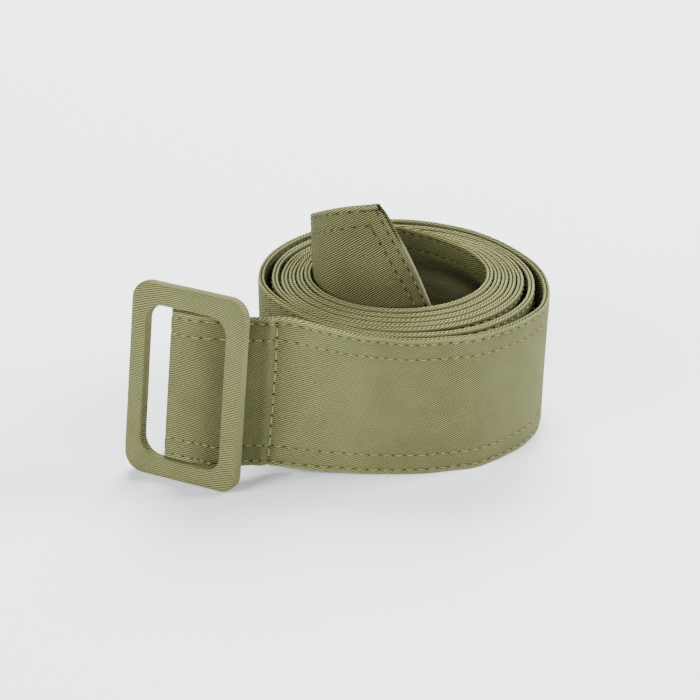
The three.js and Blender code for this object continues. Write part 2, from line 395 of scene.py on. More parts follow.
class Finish:
    """A material being made: node() adds any node, and the other methods the usual ones."""

    def __init__(self, name):
        self.material = bpy.data.materials.new(name)
        self.material.use_nodes = True
        self.nodes = self.material.node_tree.nodes
        self.links = self.material.node_tree.links
        self.nodes.clear()

    def node(self, kind, settings, sockets, output=0):
        """Adds a node, sets it up, gives its sockets values or links, and returns one of its outputs."""
        node = self.nodes.new(kind)
        for name, value in settings.items():
            setattr(node, name, value)
        for name, value in sockets.items():
            if isinstance(value, Value):
                self.links.new(value.socket, node.inputs[name])
            else:
                node.inputs[name].default_value = value
        return Value(self, node.outputs[output]) if node.outputs else None

    def maths(self, operation, *values):
        return self.node("ShaderNodeMath", {"operation": operation}, dict(enumerate(values)))

    def step(self, low, high, value):
        """0 where value is under low, 1 where it is over high, smooth between; low may be the larger."""
        sockets = {"Value": value, 1: low, 2: high}
        return self.node("ShaderNodeMapRange", {"interpolation_type": "SMOOTHSTEP"}, sockets)

    def within(self, stretch, value):
        """1 inside a stretch, 0 outside it, smooth between."""
        start, full, fading, end = stretch
        return self.step(start, full, value) * self.step(end, fading, value)

    def absolute(self, value):
        return self.maths("ABSOLUTE", value)

    def larger(self, first, second):
        return self.maths("MAXIMUM", first, second)

    def arch(self, value, power):
        """0 at whole numbers, 1 halfway between: 1 - |2 f - 1|^power, where f is the value's fraction."""
        return 1 - self.absolute(self.maths("FRACT", value) * 2 - 1) ** power

    def parts(self, place):
        """The first two parts of a vector."""
        return [self.node("ShaderNodeSeparateXYZ", {}, {0: place}, output=part) for part in (0, 1)]

    def chart(self, name):
        """A point's place in one of its piece's UV maps."""
        return self.node("ShaderNodeUVMap", {"uv_map": name}, {})

    def grain(self, scale, detail):
        """Noise all through a piece, by its own coordinates."""
        place = self.node("ShaderNodeTexCoord", {}, {}, output="Object")
        return self.node("ShaderNodeTexNoise", {}, {"Vector": place, "Scale": scale, "Detail": detail})

    def noise(self, place, scale, detail):
        sockets = {"Vector": place, "Scale": scale, "Detail": detail}
        return self.node("ShaderNodeTexNoise", {"noise_dimensions": "2D"}, sockets)

    def mix(self, factor, first, second, blend="MIX"):
        settings = {"data_type": "RGBA", "blend_type": blend}
        return self.node("ShaderNodeMix", settings, {0: factor, 6: first, 7: second}, output=2)

    def to_nearest(self, value, pitch):
        """The distance from value to the nearest whole number of pitches."""
        return (0.5 - self.absolute(self.maths("FRACT", value / pitch) - 0.5)) * pitch

    def hole(self, beside, above, radius):
        """1 in a small hole with a soft rim, from a point's two distances to its middle."""
        reach = self.maths("SQRT", beside * beside + above * above)
        return self.step(radius * 1.5, radius * 0.5, reach)

    def shades(self, factor, colour):
        """colour made darker or lighter: times 1 where factor is 0.5."""
        grey = self.node("ShaderNodeCombineColor", {}, {0: factor * 2, 1: factor * 2, 2: factor * 2})
        return self.mix(1.0, colour, grey, "MULTIPLY")

    def surface(self, colour, roughness, height, depth, specular, sheen=0.0):
        """Ends the material: a cloth or plastic surface with a bump of that depth in metres."""
        normal = self.node("ShaderNodeBump", {}, {"Height": height, "Distance": depth, "Strength": 1.0})
        sockets = {"Base Color": colour, "Roughness": roughness, "Normal": normal}
        sockets.update({"Specular IOR Level": specular, "Sheen Weight": sheen, "Sheen Roughness": 0.5})
        shader = self.node("ShaderNodeBsdfPrincipled", {}, sockets)
        self.node("ShaderNodeOutputMaterial", {}, {"Surface": shader})
        return self.material


def add_object(name, data):
    thing = bpy.data.objects.new(name, data)
    bpy.context.scene.collection.objects.link(thing)
    return thing


def add_mesh(name, points, faces, finish, **charts):
    """Makes a mesh object from arrays of points and faces, and UV maps of each face corner's place."""
    mesh = bpy.data.meshes.new(name)
    mesh.from_pydata(points.reshape(-1, 3), [], faces)
    for chart, uvs in charts.items():
        mesh.uv_layers.new(name=chart).uv.foreach_set("vector", uvs.astype(np.float32).ravel())
    mesh.polygons.foreach_set("use_smooth", np.ones(len(mesh.polygons), bool))
    mesh.materials.append(finish)
    mesh.update()
    return add_object(name, mesh)


def face_corners(rings, sides, closed=False):
    """The ring and the side of each corner of the faces between rings, numbered on past the last of them."""
    ring, side = np.meshgrid(np.arange(rings if closed else rings - 1), np.arange(sides), indexing="ij")
    return np.stack([ring, ring, ring + 1, ring + 1], -1), np.stack([side, side + 1, side + 1, side], -1)


def ring_faces(rings, sides, closed=False):
    """Four-sided faces between rings of points, the last ring joined to the first where closed."""
    ring, side = face_corners(rings, sides, closed)
    return ring % rings * sides + side % sides


class BeltSizes(bpy.types.PropertyGroup):
    strap_width: FloatProperty(name="Belt width", description="Width of the belt in millimetres", default=50)
    first_run: FloatProperty(name="Start", description="The folded end's run in millimetres", default=3.2)
    last_run: FloatProperty(name="End", description="The cut end's run in millimetres", default=1835.4)
    first_slant: FloatProperty(
        name="Start slant", description="Slant of the folded-back end in degrees", default=-20.0,
    )
    last_slant: FloatProperty(name="End slant", description="Slant of the cut end in degrees", default=13.0)
    first_row: FloatProperty(
        name="Outer row", description="Outer stitches' distance from the edge in millimetres", default=1.75,
    )
    second_row: FloatProperty(
        name="Inner row", description="Inner stitches' distance from the edge in millimetres", default=7.2,
    )
    stitch_pitch: FloatProperty(
        name="Stitch pitch", description="Distance from stitch to stitch in millimetres", default=3.7,
    )
    thread: FloatProperty(name="Thread", description="Radius of the thread in millimetres", default=0.19)
    seam_run: FloatProperty(name="Seam", description="The seam's run in millimetres", default=77.6)
    rib_pitch: FloatProperty(
        name="Rib pitch", description="Distance between the twill's ribs in millimetres", default=0.69,
    )
    rib_angle: FloatProperty(
        name="Rib angle", description="Slant of the ribs from the belt's length in degrees", default=26.0,
    )


COLOUR = {"subtype": "COLOR", "size": 4}


class BeltColours(bpy.types.PropertyGroup):
    cloth: FloatVectorProperty(
        name="Cloth", description="Colour of the twill's ribs", default=(0.158, 0.16, 0.066, 1), **COLOUR,
    )
    cloth_green: FloatVectorProperty(
        name="Greener cloth", description="Colour of the ribs in greener patches",
        default=(0.154, 0.164, 0.068, 1), **COLOUR,
    )
    # Painted shade between the twill's ribs.
    groove: FloatVectorProperty(
        name="Groove", description="Colour between the twill's ribs",
        default=(0.019, 0.0183, 0.008, 1), **COLOUR,
    )
    thread: FloatVectorProperty(
        name="Thread", description="Colour of the sewing thread", default=(0.2, 0.198, 0.086, 1), **COLOUR,
    )
    # The thread darkened as painted shade, on the raised end and the inner faces.
    shaded_thread: FloatVectorProperty(
        name="End thread", description="Colour of the thread on the raised end and the inner faces",
        default=(0.11, 0.107, 0.043, 1), **COLOUR,
    )
    # Painted shade between the coil's laps.
    hollow: FloatVectorProperty(
        name="Hollow", description="Colour of the twill between the coil's laps",
        default=(0.03, 0.028, 0.022, 1), **COLOUR,
    )
    # Painted bounce light low in the hollow.
    hollow_foot_light: FloatVectorProperty(
        name="Hollow's foot", description="Colour of the twill low in the hollow",
        default=(0.21, 0.203, 0.13, 1), **COLOUR,
    )
    seam_thread: FloatVectorProperty(
        name="Seam thread", description="Colour of the thread down the seam",
        default=(0.23, 0.225, 0.1, 1), **COLOUR,
    )
    # Near black: painted shade.
    bar: FloatVectorProperty(
        name="Bar", description="Colour of the buckle's hidden bar",
        default=(0.014, 0.013, 0.009, 1), **COLOUR,
    )
    floor: FloatVectorProperty(
        name="Floor", description="Colour of the floor", default=(0.885, 0.903, 0.945, 1), **COLOUR,
    )


def end_slants(run, sizes):
    """The slant of each ring: that of the belt's two ends, fading out within half the belt's width."""
    near_start = 1 - smooth(sizes.first_run, sizes.first_run + sizes.strap_width / 2, run)
    near_end = smooth(sizes.last_run - sizes.strap_width / 2, sizes.last_run, run)
    slants = [math.tan(math.radians(angle)) for angle in (sizes.first_slant, sizes.last_slant)]
    return slants[0] * near_start + slants[1] * near_end


def twill_height(cloth, place, chart, sizes):
    """How high the weave stands, 0 to 1: slanting ribs, each beaded by the yarns that cross it.

    A rib's height is 1 - |2 f - 1|^1.7, where f is how far across it a point lies, and a bead's is
    1 - |2 g - 1|^2, where g is how far along it. Noise lets the ribs drift and roughens them.
    """
    rib_u, rib_v = cloth.parts(cloth.chart(chart))
    angle = math.radians(sizes.rib_angle)
    across = (rib_v * math.cos(angle) - rib_u * math.sin(angle)) / sizes.rib_pitch
    across = across + cloth.noise(place, 0.05, 1.0) * 2.0 + cloth.noise(place, 1.1, 2.0) * 0.25
    along = (rib_u * math.cos(angle) + rib_v * math.sin(angle)) / (0.7 * sizes.rib_pitch)
    bead = cloth.arch(along + cloth.maths("FLOOR", across) * 0.37, 2.0)
    return cloth.arch(across, 1.7) * (0.7 + bead * 0.3)


def twill_colour(cloth, place, colours, height, contrast, middle_height):
    """The weave's colour: the ribs', greener in patches, and below the middle height painted groove shade.
    """
    tone = (height - middle_height) * contrast + 0.6
    hue = cloth.step(0.35, 0.65, cloth.noise(place, 0.16, 3.0))
    ribs = cloth.mix(hue, colours.cloth, colours.cloth_green)
    return cloth.mix(cloth.step(0.05, 0.95, tone), colours.groove, ribs)


def mottle(cloth, place, least):
    """An uneven shade, from least upward: broad clouds and fine specks."""
    return least + cloth.noise(place, 0.1, 4.0) * 0.14 + cloth.noise(place, 2.6, 2.0) * 0.12


def twill_surface(cloth, colour, height):
    return cloth.surface(colour, 0.95 - height * 0.15, height, WEAVE_DEPTH, 0.05, sheen=0.02)


def buckle_twill(sizes, colours):
    """The buckle's cover: cotton twill without stitches, with painted shade between its ribs."""
    cloth = Finish("buckle_twill")
    place = cloth.chart("cloth")
    height = twill_height(cloth, place, "cloth", sizes)
    colour = twill_colour(cloth, place, colours, height, 1.1, 0.6)
    return twill_surface(cloth, cloth.shades(mottle(cloth, place, 0.42), colour), height)


def belt_twill(sizes, colours):
    """The strap's cotton twill, with its needle holes and its painted light and shade.

    In the cloth's own map u is the run, negative on the inner face, and v goes up the face from its middle.
    The ribs, in a map of their own, show least in the middle of the front, and most near the cut end.
    """
    cloth = Finish("belt_twill")
    place = cloth.chart("cloth")
    u, v = cloth.parts(place)
    run, side = cloth.absolute(u), cloth.absolute(v)
    outward = cloth.step(-0.5, 0.5, u)
    inward = 1 - outward
    past_end = run - sizes.last_run
    in_hollow = inward * cloth.step(-320, -290, past_end)
    from_edge = sizes.strap_width / 2 - side
    from_end = sizes.last_run - run - v * math.tan(math.radians(sizes.last_slant))
    seam = seam_place(run, v, sizes)
    faint_ribs = cloth.within(FAINT_RIBS[0], run) + cloth.within(FAINT_RIBS[1], run)
    raised = cloth.step(-130, -90, past_end)
    at_bend = cloth.step(-20, -34, past_end - v * 0.35)
    height = twill_height(cloth, place, "ribs", sizes)
    # The grooves' painted shade is deepest on the raised end away from its bend and on the rims, and weaker
    # where the ribs show faint.
    contrast = raised * (2.6 - at_bend * 2.5) + cloth.step(22.8, 24.4, side) * 1.1 + 1.2
    contrast = contrast - faint_ribs * (0.75 - cloth.step(13, 21, side) * 0.4)
    colour = twill_colour(cloth, place, colours, height, contrast, raised * 0.15 + 0.6)
    # The needle holes and the lines of the stitch rows are darkened below as painted shade; the holes also
    # sink the bump.
    punched = all_holes(cloth, run, v, from_edge, from_end, sizes)
    row_shade = row_lines(cloth, from_edge, from_end, sizes) * (0.1 + raised * (1 - at_bend) * 0.35)
    # Painted shade: in the groove between the rim's plies, in the needle holes, along the rows of stitches,
    # before the seam, in the buckle frame's shadow, low on the coil beside the front, on the raised end away
    # from the cut end and low down, and in the groove at the cut end. Where the ribs show faint, the cloth
    # is a little darker.
    darker = (
        (cloth.step(25.5, 25.9, side), 0.7),
        (punched, 0.8),
        (row_shade, 1),
        (cloth.within(SHADE_BEFORE_SEAM, seam), 0.27),
        (cloth.within(BUCKLE_SHADOW, run), 0.26),
        (outward * cloth.within(SHADE_BESIDE_FRONT, run) * cloth.step(18, 5, v), 0.4),
        (raised * cloth.step(-56, -72, past_end), 0.2),
        (raised * cloth.step(8, -6, v), 0.22),
        (faint_ribs, 0.09),
        (inward * cloth.within(END_GROOVE_SHADE, from_end), 0.4),
    )
    # Painted light past the seam and on the raised end, more at its bend, and a painted highlight on the
    # ridge by the cut end.
    lighter = (
        (cloth.within(LIGHT_PAST_SEAM, seam), 0.18),
        (raised, 0.04),
        (raised * at_bend, 0.06),
        (outward * cloth.within(END_RIDGE_HIGHLIGHT, from_end), 0.2),
    )
    # A painted highlight on the rims, brighter on the coil's inner laps.
    rim_highlight = cloth.step(23.3, 24.8, side) * (0.28 + cloth.step(320, 470, run) * 0.1)
    shade = mottle(cloth, place, 0.36) + rim_highlight
    for where, amount in darker:
        shade = shade * (1 - where * amount)
    for where, amount in lighter:
        shade = shade * (1 + where * amount)
    colour = cloth.shades(shade, colour)
    # Painted shade between the coil's laps, and painted bounce light low in the hollow.
    hidden = shade_between_laps(cloth, v, run, past_end, inward, in_hollow)
    colour = cloth.mix(hidden * 0.8, colour, colours.hollow)
    colour = cloth.mix(in_hollow * cloth.step(13, 7, v) * 0.7, colour, colours.hollow_foot_light)
    return twill_surface(cloth, colour, height - punched * 1.5)


def shade_between_laps(cloth, v, run, past_end, inward, in_hollow):
    """1 on the faces between the coil's laps, below their rims; in the hollow, only partway down."""
    # The mask for painted shade.
    covered = cloth.larger(inward * cloth.step(*INNER_COVERED, run), cloth.step(*OUTER_COVERED, run))
    free = cloth.step(-120, -90, past_end)
    below_rim = cloth.step(25.2, 24.4, v) * 0.6 + cloth.step(21, 15, v) * 0.4
    partway = cloth.step(17.5, 14.5, v) * cloth.step(7, 13, v)
    return covered * (1 - free) * (below_rim * (1 - in_hollow) + partway * in_hollow)


def row_lines(cloth, from_edge, from_end, sizes):
    """1 on the lines that the rows of stitches follow along the edges and along the cut end."""
    found = 0.0
    for row, end_row in zip((sizes.first_row, sizes.second_row), END_ROWS):
        beside = cloth.step(0.5, 0.15, cloth.absolute(from_edge - row))
        before = cloth.step(0.5, 0.15, cloth.absolute(from_end - end_row))
        inside = cloth.step(end_row - 0.3, end_row, from_end) * beside
        found = inside + cloth.step(row - 0.3, row, from_edge) * before + found
    return cloth.maths("MINIMUM", found, 1.0)


def needle_holes(cloth, along, from_side, from_other, rows, pitch):
    """1 in the small holes between the stitches of the rows that lie at those distances from a side."""
    to_hole = cloth.to_nearest(along, pitch)
    found = 0.0
    for row in rows:
        hole = cloth.hole(to_hole, from_side - row, HOLE_RADIUS)
        found = hole * cloth.step(row - 0.6, row - 0.2, from_other) + found
    return cloth.maths("MINIMUM", found, 1.0)


def all_holes(cloth, run, v, from_edge, from_end, sizes):
    """1 in the needle holes along the edges, the cut end and the seam, and in the cut end's open corners."""
    pitch = sizes.stitch_pitch
    edge_rows = (sizes.first_row, sizes.second_row)
    along_edge = needle_holes(cloth, run, from_edge, from_end, edge_rows, pitch)
    along_end = needle_holes(cloth, v, from_end, from_edge, END_ROWS, pitch)
    down_seam = cloth.hole(cloth.to_nearest(v, pitch), seam_place(run, v, sizes), SEAM_HOLE_RADIUS)
    open_corner = cloth.hole((from_end - 1.5) * 3, from_edge - 1.6, 0.9)
    return cloth.larger(cloth.larger(along_edge, along_end), cloth.larger(down_seam, open_corner))


def seam_place(run, across, sizes):
    """How far along the belt a point lies from the slanting seam, in millimetres."""
    return run - sizes.seam_run + across * SEAM_SLANT


def wall_half(sizes, from_side, from_end):
    """The wall's half thickness at those distances from the side and from the nearer end.

    An end's own rows of stitches lie at END_ROWS, so its distances are stretched to meet the same pinches.
    """
    rows = (0, sizes.first_row, sizes.second_row, 12, 2000)
    stretched = np.interp(from_end, (0, *END_ROWS, 12, 2000), rows)
    inside = np.maximum(np.minimum(from_side, stretched), RIM_ROWS[0, 0])
    return np.interp(inside, HEM_ROWS[:, 0], HEM_ROWS[:, 1])


def ripples(run, across):
    """Sine waves along the belt: slow ones, and short ones at its edges, the puckers that sewing gives."""
    edge = smooth(12, 24, np.abs(across))
    side = np.where(across > 0, 1.3, 0.4)
    waves = sum(share * np.sin(run / reach + side * shift) for reach, shift, share in PUCKER_ROWS)
    slow = np.sin(run / 13.0 + 0.8) + np.sin(run / 19.0 + across / 15)
    return PUCKER_HEIGHT * edge * waves + SLOW_WAVE_HEIGHT * slow


def bump(distance, breadth):
    """A smooth rounded hump, 1 at no distance and almost 0 at twice the breadth."""
    return np.exp(-((distance / breadth) ** 2))


def belt_surface(route, sizes, run, across, out):
    """A point of the belt: the route's, plus the puckers of sewing, deepest where the belt stands free, the
    seam's ridge and pinch, and the gathers that its tight thread pulls up near the foot and the top."""
    free = smooth(62, 74, run) * (1 - smooth(150, 190, run)) + smooth(-110, -90, run - sizes.last_run)
    lifted = STRETCH * (1 - smooth(77, 105, run))
    hanging = FOOT_SAG * smooth(47, 53, run) + FOOT_STRETCH * smooth(54.5, 61.5, run)
    hanging = hanging * (1 - smooth(65, 72, run))
    across = across + lifted * smooth(0, 25, across) - hanging * smooth(0, 25, -across)
    dent = ripples(run, across) * (0.55 + 1.6 * free)
    seam = seam_place(run, across, sizes)
    for distance, breadth, height in SEAM_ROWS:
        dent = dent + height * bump(seam - distance, breadth)
    gathers = np.sin((across + 0.55 * seam) * 2 * np.pi / GATHER_SPACING)
    gathers = gathers * (bump(across + 21, 5) + 0.5 * bump(across - 22, 4))
    dent = dent + GATHER_HEIGHT * gathers * bump(seam - GATHER_PLACE, GATHER_BREADTH)
    return route.points(sizes.strap_width, run, across, out + dent)


def section(sizes):
    """The belt's section from the foot's groove up the outer face, over the top and down the inner face.

    Returns across and the share of the wall's half thickness, outward positive.
    """
    half = sizes.strap_width / 2
    rim = np.column_stack([half - RIM_ROWS[:, 0], RIM_ROWS[:, 1]])
    inner = np.concatenate([HEM_ROWS[1:, 0], [half]])
    upper = np.column_stack([half - inner, np.ones(len(inner))])[::-1]
    top = np.vstack([upper, rim])
    outer = np.vstack([(top * (-1, 1))[:0:-1], top])
    return np.vstack([outer, (outer * (1, -1))[-2:0:-1]])


def belt_runs(sizes):
    """The runs of the belt's rings: four to a stitch at the front and the raised end, one elsewhere.

    Also returns each ring's share of the wall's thickness, which the rim narrows at both ends.
    """
    fine = sizes.stitch_pitch / 4
    start, end = sizes.first_run, sizes.last_run
    inset, share = RIM_ROWS.T
    margin = inset[0] + 0.3
    runs = np.concatenate([
        np.arange(start + margin, FINE_FRONT, fine),
        np.arange(FINE_FRONT, end - FINE_END, sizes.stitch_pitch),
        np.arange(end - FINE_END, end - margin, fine),
    ])
    shares = np.concatenate([share[::-1], np.ones(len(runs)), share])
    runs = np.concatenate([start + inset[::-1], runs, end - inset])
    return runs, shares


def point_runs(sizes, shape, runs, shares):
    """Every point's run: its ring's, slanted at both ends. At the cut end the groove between the plies is
    deeper near the upper corner, the outer ply is stepped back, and so are the folded corners."""
    runs, shares, across = runs[:, None], shares[:, None], shape[:, 0]
    past_end = runs - sizes.last_run
    in_groove = np.clip(1 - 2 * shares, 0, 1) * (past_end > -5)
    tuck = TUCK * in_groove * bump(across - TUCK_ACROSS, TUCK_BREADTH)
    outer_ply = np.where(shape[:, 1] > 0, 1, 1 - smooth(0, 0.4, shares))
    step = PLY_STEP * outer_ply * smooth(-6, -1.5, past_end)
    at_corner = 1 - smooth(0, CORNER_BREADTH, sizes.strap_width / 2 - np.abs(across))
    corner = CORNER * at_corner * (1 - smooth(0, 3 * CORNER, -past_end))
    return runs - across * end_slants(runs, sizes) - tuck - step - corner


def sewn_half(sizes, run, from_side, from_end):
    """The wall's half thickness, less a dip at each needle hole of the rows along the edges."""
    at_hole = 0.5 + 0.5 * np.cos(2 * np.pi * run / sizes.stitch_pitch)
    rows = sum(bump(from_side - row, DIP_BREADTH) for row in (sizes.first_row, sizes.second_row))
    return wall_half(sizes, from_side, from_end) - HOLE_DIP * at_hole * rows


def strap_charts(route, sizes, shape, run, across):
    """The cloth's map and the ribs' map, at every corner of every face.

    u is the run, negative on the inner face, and v the way up the section from the middle of that face. The
    ribs' map is turned on the raised end.
    """
    sides = len(shape)
    steps = np.hypot(*np.diff(shape, axis=0).T)
    arc = np.concatenate([[0], np.cumsum(steps), [np.sum(steps) + steps[0]]])
    up_outer, up_inner = arc - arc[sides // 4], arc[3 * (sides // 4)] - arc
    ring, side = face_corners(len(run), sides)
    outer = side[..., :1] < sides // 2
    facing, up = np.where(outer, 1, -1), np.where(outer, up_outer[side], up_inner[side])
    corner = (ring, side % sides)
    turned_run, turned_across = turned_ribs(route, sizes, run, across)
    cloth = np.stack([facing * run[corner], up], -1)
    ribs = np.stack([facing * turned_run[corner], up + (turned_across - across)[corner]], -1)
    return cloth.reshape(-1, 4, 2), ribs.reshape(-1, 4, 2)


def close_ends(points, faces):
    """Joins the inner face's points to the outer face's in the first and last ring, where they meet."""
    rings, sides = points.shape[:2]
    side = np.arange(sides)
    outer = np.minimum(side, (sides - side) % sides)
    merged = np.arange(rings * sides)
    for first in (0, (rings - 1) * sides):
        merged[first:first + sides] = first + outer
    used, numbers = np.unique(merged[faces], return_inverse=True)
    return points.reshape(-1, 3)[used], numbers.reshape(-1, 4)


def make_strap(route, sizes, finish):
    """The belt: its section carried along its route, its two ends closed by the same rounded rim.

    Each ring's out values are scaled by the rim's share, to nothing in the first and last.
    """
    shape = section(sizes)
    runs, shares = belt_runs(sizes)
    across = np.broadcast_to(shape[:, 0], (len(runs), len(shape)))
    run = point_runs(sizes, shape, runs, shares)
    from_side = sizes.strap_width / 2 - np.abs(across)
    from_end = np.minimum(sizes.last_run - runs, runs - sizes.first_run)[:, None]
    out = shape[:, 1] * sewn_half(sizes, run, from_side, from_end) * shares[:, None]
    points = belt_surface(route, sizes, run, across, out)
    points, faces = close_ends(points, ring_faces(len(runs), len(shape)))
    cloth, ribs = strap_charts(route, sizes, shape, run, across)
    return add_mesh("strap_cloth", points, faces[:, ::-1], finish, cloth=cloth[:, ::-1], ribs=ribs[:, ::-1])


def turned_ribs(route, sizes, run, across):
    """Where the twill's ribs take a point of the belt to lie: its run and across, but on the raised end they
    are turned by RAISED_SLANT from the floor plan's run and the height, so that the ribs stay straight."""
    lift, climb = [route.at(run)[column] for column in (2, 7)]
    start = sizes.last_run - 90
    along, up = run - across * np.sin(climb) - start, lift + across * np.cos(climb)
    cosine, sine = math.cos(math.radians(RAISED_SLANT)), math.sin(math.radians(RAISED_SLANT))
    share = smooth(-110, -75, run - sizes.last_run)
    turned_run = start + along * cosine + up * sine
    turned_across = up * cosine - along * sine
    return run + (turned_run - run) * share, across + (turned_across - across) * share


def stitch_places(sizes):
    """Every stitch as run, across, direction along and across the belt, and face: rows at both edges of both
    faces, two rows along the cut end, and one row down the seam."""
    pitch = sizes.stitch_pitch
    half = sizes.strap_width / 2
    slant = math.tan(math.radians(sizes.last_slant))
    end = sizes.last_run
    places = []
    for row, end_row in zip((sizes.first_row, sizes.second_row), END_ROWS):
        for side in (-1, 1):
            across = side * (half - row)
            count = int((end - across * slant - end_row) / pitch)
            run = (np.arange(1, count) + 0.5) * pitch
            places.append(np.column_stack([run, 0 * run + across, 0 * run + 1, 0 * run]))
        reach = int((half - row) / pitch)
        across = (np.arange(-reach, reach) + 0.5) * pitch
        run = end - end_row - across * slant
        places.append(np.column_stack([run, across, 0 * run - slant, 0 * run + 1]))
    both = np.vstack(places)
    faces = np.vstack([np.column_stack([both, 0 * both[:, 0] + face]) for face in (1, -1)])
    reach = int(half / pitch)
    across = (np.arange(-reach, reach) + 0.5) * pitch
    run = sizes.seam_run - across * SEAM_SLANT
    seam = np.column_stack([run, across, 0 * run - SEAM_SLANT, 0 * run + 1, 0 * run + 1])
    return faces, seam


def make_stitches(name, route, sizes, places, finish, length, thread_radius):
    """Short threads: each a tube whose middle stands on the cloth and whose ends dive into it.

    With t from -1 to 1 along a stitch, the tube's centre stands at radius times (0.9 - 2 t^4) above the
    cloth, its radius shrinks as the square root of 1 - t^6, and its section is a six-sided ring.
    """
    t = np.array([-1, -0.86, -0.45, 0, 0.45, 0.86, 1])[:, None]
    turn = np.arange(6) * np.pi / 3
    run, across, along_run, along_across, face = [column[:, None, None] for column in places.T]
    size = np.hypot(along_run, along_across)
    along_run, along_across = along_run / size, along_across / size
    radius = thread_radius * np.sqrt(np.maximum(1 - t ** 6, 0.02))
    centre = thread_radius * (0.9 - 2 * t ** 4)
    ahead = (length / 2) * t
    beside = radius * np.cos(turn)
    above = centre + radius * np.sin(turn)
    here_run = run + ahead * along_run - beside * along_across
    here_across = across + ahead * along_across + beside * along_run
    from_side = sizes.strap_width / 2 - np.abs(here_across)
    from_end = sizes.last_run - here_run - here_across * math.tan(math.radians(sizes.last_slant))
    hem = wall_half(sizes, from_side, from_end)
    points = belt_surface(route, sizes, here_run, here_across, face * (hem + above))
    tube = ring_faces(len(t), 6).reshape(-1, 4)
    caps = np.array([[0, 3, 4, 5], [0, 1, 2, 3]])
    tube = np.vstack([tube, caps, caps[:, ::-1] + 6 * (len(t) - 1)])
    starts = np.arange(len(places))[:, None, None] * 6 * len(t)
    faces = (np.where(face > 0, tube[None], tube[None, :, ::-1]) + starts).reshape(-1, 4)
    lengthwise, round_tube = np.broadcast_arrays(ahead, turn, here_run)[:2]
    chart = np.stack([lengthwise, round_tube], -1).reshape(-1, 2)
    return add_mesh(name, points, faces, finish, cloth=chart[faces])


def thread_finish(name, colour):
    """Sewing thread: fine slanting plies round each stitch, with painted shade between them."""
    thread = Finish(name)
    along, around = thread.parts(thread.chart("cloth"))
    ply = thread.maths("SINE", along * 9.0 + around * 2.0) * 0.5 + 0.5
    colour = thread.shades(0.42 + ply * 0.14, colour)
    return thread.surface(colour, 0.75 - ply * 0.1, ply, PLY_DEPTH, 0.2)


class BELT_OT_strap(bpy.types.Operator):
    """Builds the belt's strap of twill"""

    bl_idname = "belt.strap"
    bl_label = "Strap"

    def execute(self, context):
        sizes, colours = context.scene.belt_sizes, context.scene.belt_colours
        strap = make_strap(Route(), sizes, belt_twill(sizes, colours))
        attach(strap, "root")
        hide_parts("strap")
        return {"FINISHED"}


class BELT_OT_stitches(bpy.types.Operator):
    """Sews the rows of stitches along the belt's edges and its end, and down the seam"""

    bl_idname = "belt.stitches"
    bl_label = "Stitches"

    def execute(self, context):
        sizes, colours = context.scene.belt_sizes, context.scene.belt_colours
        route = Route()
        thread = thread_finish("sewing_thread", colours.thread)
        # The thread on the raised end and the inner faces is darkened as painted shade.
        dark_thread = thread_finish("shaded_thread", colours.shaded_thread)
        seam_thread = thread_finish("seam_thread", colours.seam_thread)
        rows, seam = stitch_places(sizes)
        out, raised = rows[:, 4] > 0, rows[:, 0] > sizes.last_run - DARK_THREAD
        for name, places, finish, longer, thicker in (
            ("stitches_outer", rows[out & ~raised], thread, 1, 1),
            ("stitches_end", rows[out & raised], dark_thread, 1, 1),
            ("stitches_inner", rows[~out], dark_thread, 1, 1),
            ("stitches_seam", seam, seam_thread, SEAM_LONGER, SEAM_THICKER),
        ):
            length, radius = sizes.stitch_pitch * STITCH_SHARE * longer, sizes.thread * thicker
            piece = make_stitches(name, route, sizes, places, finish, length, radius)
            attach(piece, "root")
        return {"FINISHED"}


class BELT_OT_buckle(bpy.types.Operator):
    """Builds the buckle's frame, covered in the belt's twill"""

    bl_idname = "belt.buckle"
    bl_label = "Covered buckle"

    def execute(self, context):
        sizes, colours = context.scene.belt_sizes, context.scene.belt_colours
        cover = make_buckle(buckle_twill(sizes, colours))
        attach(cover, "root")
        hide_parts("buckle_frame")
        return {"FINISHED"}


# The covered frame: its place from the coil's middle, its size and its lean backward in degrees. The sides
# are the widths of the left, right, top and foot bands; the radii are those of the corners, from the upper
# right one anticlockwise.
BUCKLE_FOOT = (-40.4, -83.5, 0.15)
BUCKLE_SIZE = (43.2, 67.2, 4.6)
BUCKLE_SIDES = (6.1, 6.9, 7.5, 6.7)
OUTER_RADII = (6.8, 6.3, 6.8, 5.8)
INNER_RADII = (6.3, 5.9, 6.6, 4.8)
BUCKLE_LEAN = 8.8

# The points round its section, the power that squares it, how far the cover stands out, give or take its
# slack, the width of each band in the twill's map, and how far askew the twill is pulled.
SECTION_POINTS = 64
SECTION_POWER = 5.5
COVER = 0.1
COVER_SLACK = 0.09
MAP_BAND = 7
ASKEW = 0.00019


def rounded_loop(left, right, foot, top, radii, steps=24, corner_steps=12):
    """A rounded rectangle's x and z, anticlockwise: quarter circles at the corners and straight sides."""
    points = []
    corners = ((right, top, 1, 1), (left, top, -1, 1), (left, foot, -1, -1), (right, foot, 1, -1))
    for corner, (x, z, side_x, side_z) in enumerate(corners):
        angle = np.pi / 2 * (corner + np.arange(corner_steps + 1) / corner_steps)
        arc = np.column_stack([np.cos(angle) - side_x, np.sin(angle) - side_z]) * radii[corner]
        points.append(arc + (x, z))
    filled = []
    for corner in range(4):
        start, end = points[corner][-1], points[(corner + 1) % 4][0]
        share = (np.arange(1, steps) / steps)[:, None]
        filled += [points[corner], start + (end - start) * share]
    return np.vstack(filled)


